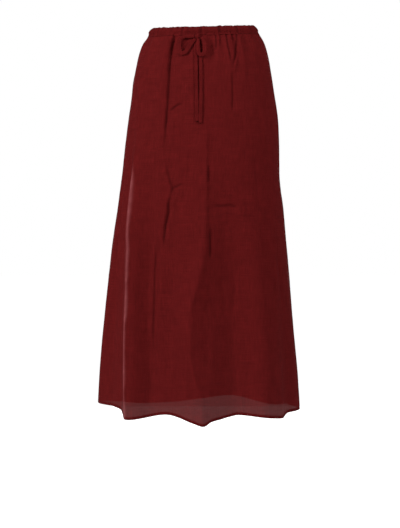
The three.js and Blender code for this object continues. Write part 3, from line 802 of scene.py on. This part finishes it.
def stitch_row(name, places, outs, width, material):
    """A row of stitches: one small rounded stretch of thread between each two places."""
    bm = bmesh.new()
    for start, end, out in zip(places, places[1:], outs):
        run = Vector(end - start)
        side = run.cross(Vector(out)).normalized()
        up = side.cross(run).normalized()
        turn = Matrix((run.normalized(), side, up)).transposed().to_4x4()
        middle = Matrix.Translation(Vector((start + end) / 2))
        size = Matrix.Diagonal((run.length * STITCH_SHARE, width, width * 0.8, 1))
        bmesh.ops.create_icosphere(bm, subdivisions=1, radius=0.5, matrix=middle @ turn @ size)
    return finish_piece(bm, name, material)


def casing_stitches(name, first, last, look, material):
    """The row of stitches round half of the casing, in a whole number of stitches."""
    def stitched(turn):
        lift, _, drop = casing_faces(turn, CASING_STITCH_SHARE, look)
        return form_point(turn, drop, lift + STITCH_LIFT), outward(turn, drop)

    turns = np.linspace(first, last, 721)
    run = running_length(stitched(turns)[0])
    count = int(run[-1] / look.stitch_length)
    at = np.interp(np.linspace(0, run[-1], count + 1), run, turns)
    return stitch_row(name, *stitched(at), CASING_THREAD, material)


def hem_stitches(name, first, last, look, material):
    """The row of stitches round half of the hem."""
    def stitched(turn):
        drop = hem_drop(turn) - look.hem_depth + HEM_STITCH_GAP
        at = along_ridge(turn, drop) if first < 0 else turn
        return cloth_point(at, drop, -STITCH_LIFT, look), outward(turn, drop)

    turns = np.linspace(first, last, 1441)
    run = running_length(stitched(turns)[0])
    at = np.interp(np.arange(0, run[-1], look.stitch_length), run, turns)
    return stitch_row(name, *stitched(at), HEM_THREAD, material)


# The drawstring

def on_front(across, drop, lift):
    """A point in front of the skirt, by its distance across, its drop and its lift off the cloth."""
    side = read_table(SECTIONS, "drop", "left" if across < 0 else "right", drop)
    turn = math.degrees(math.asin(across / side))
    cloth = CASING_PUFF
    if drop > CASING_SEAM_DROP:
        cloth = fold_lift(turn, drop) + gather_lift(turn, drop)
    return form_point(turn, drop, cloth + lift)


def smooth_route(points, count):
    """Evenly spaced points along the CAD tie's own centripetal curve through a route."""
    points = np.array(points)
    ends = np.vstack([2 * points[0] - points[1], points, 2 * points[-1] - points[-2]])
    fine = []
    for p0, p1, p2, p3 in zip(ends, ends[1:], ends[2:], ends[3:]):
        d0, d1, d2 = (math.sqrt(np.linalg.norm(b - a)) for a, b in ((p0, p1), (p1, p2), (p2, p3)))
        t1 = ((p1 - p0) / d0 - (p2 - p0) / (d0 + d1) + (p2 - p1) / d1) * d1
        t2 = ((p2 - p1) / d1 - (p3 - p1) / (d1 + d2) + (p3 - p2) / d2) * d1
        for s in np.linspace(0, 1, 24, endpoint=False):
            a, b = 2 * s**3 - 3 * s**2 + 1, s**3 - 2 * s**2 + s
            fine.append(a * p1 + b * t1 + (1 - a) * p2 + (s**3 - s**2) * t2)
    fine = np.vstack([fine, points[-1]])
    run = running_length(fine)
    at = np.linspace(0, run[-1], count)
    return np.stack([np.interp(at, run, fine[:, k]) for k in range(3)], 1), run[-1]


def tie_mesh(bm, path, outs, width, thickness, seed, pinched=(0, 0)):
    """Adds a flat sewn tie along a path to a bmesh. Its wide side faces outs, and "pinched" is how
    much narrower it is at its two ends."""
    rows, columns = len(path) - 1, 28
    part, across, up = new_grid(columns, rows)
    tangents = np.gradient(path, axis=0)
    tangents /= np.linalg.norm(tangents, axis=1, keepdims=True)
    sides = np.cross(tangents, outs)
    sides /= np.linalg.norm(sides, axis=1, keepdims=True)
    faces = np.cross(sides, tangents)
    k = np.rint(up * rows).astype(int)
    angle = -2 * math.pi * across
    run = running_length(path)
    along = run[k]
    wander = 1 + 0.06 * np.sin(along * 410 + seed) + 0.05 * np.sin(along * 173 + 2 * seed)
    cosine, sine = np.cos(angle), np.sin(angle)
    left = run[-1] - along
    pinch = 1 - pinched[0] * np.exp(-along / KNOT_PINCH_REACH)
    pinch -= pinched[1] * np.exp(-left / KNOT_PINCH_REACH)
    x = np.sign(cosine) * np.abs(cosine) ** 0.75 * width / 2 * wander * pinch
    groove = np.exp(-(((np.abs(cosine) - 0.72) / 0.10) ** 2))
    ripple = 0.10 * np.sin(along * 900 + 3 * cosine + seed) * np.abs(sine)
    z = np.sign(sine) * np.abs(sine) ** 0.8 * thickness / 2 * (1 - 0.22 * groove + ripple)
    places = path[k] + sides[k] * x[:, None] + faces[k] * z[:, None]
    move_verts(part, places)
    add_uv(part, across * 2 * width, along)
    # Painted shade along the tie's two edges, darkest right at the edge
    add_values(part, "deep", 0.8 * np.abs(cosine) ** 16)
    close_ends(part, 0.00001)
    mesh = bpy.data.meshes.new("tie part")
    part.to_mesh(mesh)
    part.free()
    bm.from_mesh(mesh)
    bpy.data.meshes.remove(mesh)


def tie_piece(name, look, material, seed, count):
    """One stretch of the drawstring, as a flat tie along its route."""
    route = [on_front(*row) for row in TIE_ROUTES[name]]
    path, length = smooth_route(route, count)
    side, drop = TIE_FACING
    turns = [math.degrees(math.asin(row[0] / side)) for row in TIE_ROUTES[name]]
    middle = outward(np.array(float(np.mean(turns))), np.array(drop))
    outs = np.tile(middle, (count, 1))
    bm = bmesh.new()
    pinched, width, thickness, ends = (KNOT_PINCH, 0), look.tie_width, look.tie_thickness, "bare"
    if "loop" in name:
        pinched, ends = (KNOT_PINCH, KNOT_PINCH), "object"
        width *= LOOP_WIDENING
        thickness *= LOOP_FLATTENING
    tie_mesh(bm, path, outs, width, thickness, seed, pinched)
    piece = finish_piece(bm, name.replace("drawstring", "tie"), material)
    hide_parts(name)
    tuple(route[0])
    return piece


def knot_piece(look, material):
    """The bow's knot: two crossing turns of the tie round a tight middle."""
    middle = on_front(*KNOT_PLACE)
    out = outward(np.array(KNOT_TURN), np.array(KNOT_PLACE[1]))
    across = np.cross(out, (0, 0, 1.0)) * -1
    rise = np.array((0, 0, 1.0))
    bm = bmesh.new()
    bmesh.ops.create_icosphere(bm, subdivisions=3, radius=0.5)
    for vert in bm.verts:
        at = vert.co
        lumps = 1 + 0.10 * math.sin(9 * at.x + 5 * at.z)
        level = across * at.x * KNOT_SIZE[0] * lumps - out * at.y * KNOT_SIZE[1]
        vert.co = middle + level + rise * at.z * KNOT_SIZE[2] * lumps
    for angle, reach, lift, seed in KNOT_TURNS:
        turn = math.radians(angle)
        way = across * math.cos(turn) + rise * math.sin(turn)
        arc = np.linspace(-1.75, 1.75, 21)
        path = np.array([middle + way * reach * math.sin(a) + out * (lift * math.cos(a)) for a in arc])
        outs = np.array([way * math.sin(a) + out * math.cos(a) for a in arc])
        tie_mesh(bm, path, outs, *KNOT_TIE, seed)
    piece = finish_piece(bm, "tie_knot", material)
    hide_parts("drawstring_knot")
    return piece


# Materials

def new_group(name, inputs, outputs):
    """An empty shader node group with named sockets."""
    group = bpy.data.node_groups.new(name, "ShaderNodeTree")
    for label, kind, default in inputs:
        socket = group.interface.new_socket(label, in_out="INPUT", socket_type=kind)
        if default is not None:
            socket.default_value = default
    for label, kind in outputs:
        group.interface.new_socket(label, in_out="OUTPUT", socket_type=kind)
    return group, group.nodes.new("NodeGroupInput").outputs, group.nodes.new("NodeGroupOutput").inputs


def node_maker(tree):
    """Returns a function that adds a node, sets its inputs from values or sockets, and returns it."""
    def make(kind, values=None, **settings):
        node = tree.nodes.new(kind)
        for name, value in settings.items():
            setattr(node, name, value)
        for key, value in (values or {}).items():
            if isinstance(value, bpy.types.NodeSocket):
                tree.links.new(value, node.inputs[key])
            else:
                node.inputs[key].default_value = value
        return node
    return make


def math_maker(make):
    """Returns a function that adds one step of arithmetic and returns its output."""
    def calculate(operation, *terms):
        return make("ShaderNodeMath", dict(enumerate(terms)), operation=operation).outputs[0]
    return calculate


def linen_group():
    """The weave of linen from a UV map in metres: uneven threads, slubs and crumples, with a painted
    highlight on the sharpest ridge and painted shade in creases, crinkles and along the ties' edges.
    """
    group, given, out = new_group(
        "Linen weave",
        [
            ("Thread pitch", "NodeSocketFloat", 0.0007),
            ("Color", "NodeSocketColor", (0.08, 0.007, 0.008, 1)),
            ("Worn color", "NodeSocketColor", (0.16, 0.03, 0.035, 1)),
            ("Wear", "NodeSocketFloat", 0.3),
            ("Roughness", "NodeSocketFloat", 0.85),
        ],
        [
            ("Color", "NodeSocketColor"),
            ("Roughness", "NodeSocketFloat"),
            ("Height", "NodeSocketFloat"),
        ],
    )
    make = node_maker(group)
    calculate = math_maker(make)
    place = make("ShaderNodeUVMap", uv_map="UVMap").outputs["UV"]

    def crossed_noise(scales, detail):
        """Noise about 0 that is drawn out along the one and the other way of the weave."""
        parts = []
        for scale in scales:
            stretched = make("ShaderNodeMapping", {"Vector": place, "Scale": scale}).outputs[0]
            values = {"Vector": stretched, "Scale": 1.0, "Detail": detail}
            parts.append(make("ShaderNodeTexNoise", values).outputs["Fac"])
        return calculate("SUBTRACT", calculate("ADD", *parts), 1.0)

    def object_noise(scale, roughness):
        """Noise through the object's own space."""
        values = {"Vector": space, "Scale": scale, "Detail": 3.0, "Roughness": roughness}
        return make("ShaderNodeTexNoise", values).outputs["Fac"]

    def attribute(name):
        return make("ShaderNodeAttribute", attribute_name=name).outputs["Fac"]

    space = make("ShaderNodeTexCoord").outputs["Object"]
    split = make("ShaderNodeSeparateXYZ", {0: place})
    waves = []
    for axis in ("X", "Y"):
        turns = calculate("DIVIDE", split.outputs[axis], given["Thread pitch"])
        waves.append(calculate("SINE", calculate("MULTIPLY", turns, math.pi)))
    weave = calculate("MULTIPLY_ADD", calculate("MULTIPLY", *waves), 0.5, 0.5)
    thread = calculate("MULTIPLY_ADD", crossed_noise(SLUB_SCALES, 2.0), 2.6, 0.5)
    streak = calculate("MULTIPLY_ADD", crossed_noise(STREAK_SCALES, 1.0), 0.24, 1.0)
    blotch = object_noise(60.0, 0.6)
    # Painted highlight: the sharpest ridge is mixed, in patches, towards a lighter colour
    patchy = calculate("MULTIPLY", given["Wear"], calculate("ADD", blotch, 0.35))
    highlighted = calculate("MULTIPLY", attribute("wear"), patchy)
    tone = calculate("MULTIPLY_ADD", thread, 0.28, 0.86)
    fade = calculate("MULTIPLY", calculate("MULTIPLY_ADD", blotch, 0.44, 0.78), streak)
    between = calculate("MULTIPLY_ADD", weave, 0.12, 0.94)
    level = calculate("MULTIPLY", calculate("MULTIPLY", tone, fade), between)
    # Painted shade: the colour is darkened in narrow creases, in the casing's crinkle troughs and along
    # the ties' edges
    kept_share = calculate("SUBTRACT", 1.0, calculate("MULTIPLY", attribute("deep"), 0.58))
    level = calculate("MULTIPLY", level, kept_share)
    level = make("ShaderNodeCombineColor", {0: level, 1: level, 2: level}).outputs[0]
    shade = {0: 1.0, 6: given["Color"], 7: level}
    shade = make("ShaderNodeMix", shade, data_type="RGBA", blend_type="MULTIPLY").outputs[2]
    mixed = make("ShaderNodeMix", {0: highlighted, 6: shade, 7: given["Worn color"]}, data_type="RGBA")
    group.links.new(mixed.outputs[2], out["Color"])
    smoother = calculate("MULTIPLY", calculate("SUBTRACT", thread, 0.5), -0.12)
    group.links.new(calculate("ADD", given["Roughness"], smoother), out["Roughness"])
    height = calculate("ADD", calculate("MULTIPLY", weave, 0.35), calculate("MULTIPLY", thread, 0.45))
    height = calculate("ADD", height, calculate("MULTIPLY", object_noise(120.0, 0.55), 1.4))
    group.links.new(height, out["Height"])
    return group


def linen_material(name, color, see_through, look):
    """Matt linen that lets a little light through."""
    material = bpy.data.materials.new(name)
    material.use_nodes = True
    tree = material.node_tree
    tree.nodes.clear()
    make = node_maker(tree)
    weave = make("ShaderNodeGroup", {
        "Thread pitch": look.thread_pitch,
        "Color": (*color, 1),
        "Worn color": (*look.painted_highlight_color, 1),
        "Wear": look.painted_highlight_share,
        "Roughness": look.linen_roughness,
    }, node_tree=weave_group())
    bump = {"Height": weave.outputs["Height"], "Distance": 0.00035, "Strength": 0.8}
    bump = make("ShaderNodeBump", bump).outputs[0]
    surface = make("ShaderNodeBsdfPrincipled", {
        "Base Color": weave.outputs["Color"],
        "Roughness": weave.outputs["Roughness"],
        "Normal": bump,
        "Specular IOR Level": 0.03,
        "Sheen Weight": 0.04,
        "Sheen Roughness": 0.6,
        "Sheen Tint": (0.6, 0.08, 0.1, 1),
        "Alpha": CLOTH_ALPHA,
    })
    end = surface.outputs[0]
    if see_through:
        glow = make("ShaderNodeBsdfTranslucent", {"Color": (*look.lit_color, 1), "Normal": bump})
        end = make("ShaderNodeMixShader", {0: see_through, 1: end, 2: glow.outputs[0]}).outputs[0]
    output = make("ShaderNodeOutputMaterial")
    tree.links.new(end, output.inputs["Surface"])
    material.diffuse_color = (*color, 1)
    return material


def thread_material(look):
    """The sewing thread: the linen's colour, a little brighter, with a fine twist."""
    material = bpy.data.materials.new("sewing_thread")
    material.use_nodes = True
    tree = material.node_tree
    make = node_maker(tree)
    surface = tree.nodes["Principled BSDF"]
    place = make("ShaderNodeTexCoord").outputs["Object"]
    twist = make("ShaderNodeTexNoise", {"Vector": place, "Scale": 1600.0, "Detail": 2.0})
    dark, bright = ((*[part * share for part in look.thread_color], 1) for share in (0.6, 1.4))
    color = make("ShaderNodeMix", {0: twist.outputs["Fac"], 6: dark, 7: bright}, data_type="RGBA")
    bump = {"Height": twist.outputs["Fac"], "Distance": 0.0001, "Strength": 0.6}
    bump = make("ShaderNodeBump", bump)
    tree.links.new(color.outputs[2], surface.inputs["Base Color"])
    tree.links.new(bump.outputs[0], surface.inputs["Normal"])
    surface.inputs["Roughness"].default_value = 0.6
    surface.inputs["Specular IOR Level"].default_value = 0.12
    return material


def material_named(name, make):
    """The material of that name, made the first time that it is asked for."""
    return bpy.data.materials.get(name) or make()


def weave_group():
    return bpy.data.node_groups.get("Linen weave") or linen_group()


def linen(look):
    name = "washed_linen"
    return material_named(
        name, lambda: linen_material(name, look.linen_color, look.see_through, look))


# The ties' linen: the skirt's linen in a darker colour, as painted shade on the bow
def tie_linen(look):
    name = "washed_linen_tie"
    return material_named(name, lambda: linen_material(name, look.tie_shaded_color, 0, look))


def thread(look):
    return material_named("sewing_thread", lambda: thread_material(look))


# The settings

def length_setting(name, description, default, least, most):
    return bpy.props.FloatProperty(
        name=name, description=description, default=default, min=least, max=most,
        unit="LENGTH", precision=5)


def share_setting(name, description, default, least, most):
    return bpy.props.FloatProperty(
        name=name, description=description, default=default, min=least, max=most, subtype="FACTOR")


def color_setting(name, description, default):
    return bpy.props.FloatVectorProperty(
        name=name, description=description, default=default, min=0, max=1, subtype="COLOR")


def power_setting(name, description, default, most):
    return bpy.props.FloatProperty(
        name=name, description=description, default=default, min=0, max=most, unit="POWER")


class SkirtSizes(bpy.types.PropertyGroup):
    """Sizes and colours of the skirt that a user would change"""

    cloth_thickness: length_setting(
        "Cloth thickness", "Thickness of the linen of the seam allowances", 0.0006, 0.0002, 0.002)
    thread_pitch: length_setting(
        "Thread pitch", "Distance between two threads of the weave", 0.0007, 0.0003, 0.002)
    crease_share: share_setting(
        "Creases", "How deep the placed creases are, 1 for their own depth", 1.4, 0, 2)
    gather_depth: length_setting(
        "Fine gathers", "Depth of the fine gathers below the casing", 0.0010, 0, 0.003)
    drape_depth: length_setting(
        "Uneven hang", "Depth of the soft unevenness of the hanging cloth", 0.0013, 0, 0.004)
    crumple_depth: length_setting(
        "Crumple", "Depth of the fine crumples of washed linen", 0.00022, 0, 0.001)
    tie_width: length_setting(
        "Tie width", "Width of the drawstring's flat tie", TIE_WIDTH, 0.004, 0.012)
    tie_thickness: length_setting(
        "Tie thickness", "Thickness of the drawstring's tie", 0.0019, 0.001, 0.004)
    hem_depth: length_setting(
        "Hem depth", "Height of the turned hem", 0.006, 0.004, 0.03)
    stitch_length: length_setting(
        "Stitch length", "Distance from one stitch to the next", 0.003, 0.0015, 0.006)
    linen_color: color_setting("Linen", "Colour of the linen", (0.096, 0.0058, 0.0060))
    # The tie's colour: the linen's, darkened as painted shade on the bow
    tie_shaded_color: color_setting("Tie", "Colour of the drawstring, darkened as painted shade", (0.086, 0.0052, 0.0054))
    # Colour of the painted highlight on the sharpest ridge
    painted_highlight_color: color_setting(
        "Painted highlight colour", "Colour of the painted highlight on the sharpest ridge", (0.270, 0.068, 0.072))
    lit_color: color_setting(
        "Light through the linen", "Colour of the light that the cloth scatters to its other side",
        (0.90, 0.10, 0.11))
    thread_color: color_setting(
        "Sewing thread", "Colour of the sewing thread", (0.066, 0.0048, 0.0052))
    see_through: share_setting(
        "See-through", "Share of the light that the cloth scatters to its other side", 0.06, 0, 0.6)
    # Strength of the painted highlight on the sharpest ridge
    painted_highlight_share: share_setting("Wear", "How strong the painted highlight on the sharpest ridge is", 0.95, 0, 1)
    linen_roughness: share_setting("Roughness", "Roughness of the linen", 0.86, 0.4, 1)


class StageSettings(bpy.types.PropertyGroup):
    """Sizes and light of the studio round the skirt"""

    floor_drop: length_setting("Floor", "How far the floor lies below the waist", 1.115, 0.9, 2)
    key_power: power_setting("Key light", "Power of the soft light on the left", 77.0, 200)
    fill_power: power_setting("Fill light", "Power of the soft light on the right", 31.0, 200)
    back_power: power_setting(
        "Backdrop light", "Power of the light from the white backdrop behind", 60.0, 400)
    sky_strength: bpy.props.FloatProperty(
        name="Sky", description="Brightness of the white surroundings", default=0.27, min=0, max=3)


# The operators

def area_light(name, place, target, size, power):
    """A soft light that the camera doesn't see."""
    data = bpy.data.lights.new(name, "AREA")
    data.shape = "RECTANGLE"
    data.size, data.size_y = size
    data.energy = power
    light = bpy.data.objects.new(name, data)
    light.location = place
    light.visible_camera = False
    light.rotation_euler = (Vector(target) - Vector(place)).to_track_quat("-Z", "Y").to_euler()
    bpy.context.scene.collection.objects.link(light)


class SKIRT_OT_stage(bpy.types.Operator):
    """Adds the camera, the soft lights, the white surroundings and the pale floor"""

    bl_idname = "skirt.stage"
    bl_label = "Stage"

    def execute(self, context):
        settings = context.scene.skirt_stage
        camera = bpy.data.cameras.new("camera")
        camera.sensor_fit = "AUTO"
        camera.sensor_width = SENSOR_SIZE
        seen = PHOTO_SIZE[1] * PHOTO_PIXEL
        camera.lens = SENSOR_SIZE * -CAMERA_PLACE[1] / seen
        holder = bpy.data.objects.new("camera", camera)
        holder.location = CAMERA_PLACE
        holder.rotation_euler = (math.radians(90), 0, 0)
        context.scene.collection.objects.link(holder)
        context.scene.camera = holder
        context.scene.view_settings.view_transform = "Standard"
        world = bpy.data.worlds.new("studio")
        world.use_nodes = True
        make = node_maker(world.node_tree)
        sky = world.node_tree.nodes["Background"]
        sky.inputs["Color"].default_value = WHITE
        sky.inputs["Strength"].default_value = settings.sky_strength
        white = make("ShaderNodeBackground", {"Color": WHITE, "Strength": 1.0}).outputs[0]
        by_camera = make("ShaderNodeLightPath").outputs["Is Camera Ray"]
        both = make("ShaderNodeMixShader", {0: by_camera, 1: sky.outputs[0], 2: white}).outputs[0]
        surface = world.node_tree.nodes["World Output"].inputs["Surface"]
        world.node_tree.links.new(both, surface)
        context.scene.world = world
        for name, (power, place, target, size) in LIGHTS.items():
            area_light(name, place, target, size, getattr(settings, power))
        bm = bmesh.new()
        bmesh.ops.create_grid(bm, x_segments=2, y_segments=2, size=FLOOR_SIZE)
        bmesh.ops.translate(bm, vec=(0, 0, -settings.floor_drop), verts=bm.verts)
        mesh = bpy.data.meshes.new("floor")
        bm.to_mesh(mesh)
        bm.free()
        floor = bpy.data.objects.new("floor", mesh)
        context.scene.collection.objects.link(floor)
        material = bpy.data.materials.new("pale_floor")
        material.use_nodes = True
        surface = material.node_tree.nodes["Principled BSDF"]
        make = node_maker(material.node_tree)
        by_camera = make("ShaderNodeLightPath").outputs["Is Camera Ray"]
        greys = {0: by_camera, 6: (0.40, 0.40, 0.40, 1), 7: (0.30, 0.30, 0.30, 1)}
        pale = make("ShaderNodeMix", greys, data_type="RGBA").outputs[2]
        glow = make("ShaderNodeMath", {0: by_camera, 1: 0.93}, operation="MULTIPLY").outputs[0]
        material.node_tree.links.new(pale, surface.inputs["Base Color"])
        material.node_tree.links.new(glow, surface.inputs["Emission Strength"])
        surface.inputs["Emission Color"].default_value = WHITE
        surface.inputs["Roughness"].default_value = 0.9
        surface.inputs["Specular IOR Level"].default_value = 0.1
        mesh.materials.append(material)
        return {"FINISHED"}


class SKIRT_OT_drawstring(bpy.types.Operator):
    """Adds the drawstring's two ends and its two loops"""

    bl_idname = "skirt.drawstring"
    bl_label = "Drawstring"

    def execute(self, context):
        look = context.scene.skirt_sizes
        for seed, name in enumerate(TIE_ROUTES):
            tie_piece(name, look, tie_linen(look), 1.3 + seed, 121 if "tail" in name else 91)
        return {"FINISHED"}


class SKIRT_OT_knot(bpy.types.Operator):
    """Adds the bow's knot"""

    bl_idname = "skirt.knot"
    bl_label = "Knot"

    def execute(self, context):
        look = context.scene.skirt_sizes
        knot_piece(look, tie_linen(look))
        return {"FINISHED"}


class SKIRT_OT_panels(bpy.types.Operator):
    """Adds the front and the back panel"""

    bl_idname = "skirt.panels"
    bl_label = "Panels"

    def execute(self, context):
        look = context.scene.skirt_sizes
        front = cloth_panel("linen_front_panel", -90, 90, 318, look, linen(look))
        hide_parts("skirt_front")
        back = cloth_panel("linen_back_panel", 90, 270, 280, look, linen(look))
        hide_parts("skirt_back")
        return {"FINISHED"}


class SKIRT_OT_casing(bpy.types.Operator):
    """Adds the gathered waist casing, front and back, with its row of stitches"""

    bl_idname = "skirt.casing"
    bl_label = "Waist casing"

    def execute(self, context):
        look = context.scene.skirt_sizes
        for name, *turns in HALVES:
            piece = casing_band(f"linen_casing_{name}", *turns, look, linen(look))
            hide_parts(f"waist_casing_{name}")
            casing_stitches(f"casing_stitches_{name}", *turns, look, thread(look))
        return {"FINISHED"}


class SKIRT_OT_hem(bpy.types.Operator):
    """Adds the row of stitches that holds the turned hem"""

    bl_idname = "skirt.hem"
    bl_label = "Hem"

    def execute(self, context):
        look = context.scene.skirt_sizes
        for name, *turns in HALVES:
            hem_stitches(f"hem_stitches_{name}", *turns, look, thread(look))
        return {"FINISHED"}


class SKIRT_OT_side_seams(bpy.types.Operator):
    """Adds the folded seam allowances inside the two side seams"""

    bl_idname = "skirt.side_seams"
    bl_label = "Side seams"

    def execute(self, context):
        look = context.scene.skirt_sizes
        for name, seam in (("left", -90), ("right", 90)):
            bm, across, up = new_grid(6, 160)
            top = CASING_SEAM_DROP + ALLOWANCE_END_GAP
            edge = hem_drop(np.full(len(up), float(seam))) - ALLOWANCE_END_GAP
            drop = top + (edge - top) * (1 - up)
            width = ALLOWANCE_WIDTH / metres_per_degree(seam, drop)
            turn = seam + width * (across if seam > 0 else across - 1)
            behind = look.cloth_thickness + 0.0003 + 0.0004 * np.sin(math.pi * across)
            move_verts(bm, cloth_point(turn, drop, behind, look))
            add_uv(bm, across * ALLOWANCE_WIDTH, -drop)
            # No painted highlight on the seam allowances
            add_values(bm, "wear", 0 * turn)
            finish_piece(bm, f"seam_allowance_{name}", linen(look), look.cloth_thickness)
        return {"FINISHED"}


class SKIRT_PT_panel(bpy.types.Panel):
    """Lists the skirt's settings and its building steps"""

    bl_idname = "SKIRT_PT_panel"
    bl_label = "Skirt"
    bl_space_type = "VIEW_3D"
    bl_region_type = "UI"
    bl_category = "Skirt"

    def draw(self, context):
        for settings in (context.scene.skirt_sizes, context.scene.skirt_stage):
            box = self.layout.box()
            for name in type(settings).__annotations__:
                box.prop(settings, name)
        for operator in OPERATORS:
            self.layout.operator(operator.bl_idname)


OPERATORS = (
    SKIRT_OT_stage,
    SKIRT_OT_drawstring,
    SKIRT_OT_knot,
    SKIRT_OT_panels,
    SKIRT_OT_casing,
    SKIRT_OT_hem,
    SKIRT_OT_side_seams,
)
CLASSES = (SkirtSizes, StageSettings, *OPERATORS, SKIRT_PT_panel)


def register():
    for item in CLASSES:
        bpy.utils.register_class(item)
    bpy.types.Scene.skirt_sizes = bpy.props.PointerProperty(type=SkirtSizes)
    bpy.types.Scene.skirt_stage = bpy.props.PointerProperty(type=StageSettings)


def unregister():
    del bpy.types.Scene.skirt_stage
    del bpy.types.Scene.skirt_sizes
    for item in reversed(CLASSES):
        bpy.utils.unregister_class(item)


def main():
    register()
    bpy.ops.skirt.stage()
    bpy.ops.skirt.drawstring()
    bpy.ops.skirt.knot()
    bpy.ops.skirt.panels()
    bpy.ops.skirt.casing()
    bpy.ops.skirt.hem()
    bpy.ops.skirt.side_seams()


if __name__ == "__main__":
    main()
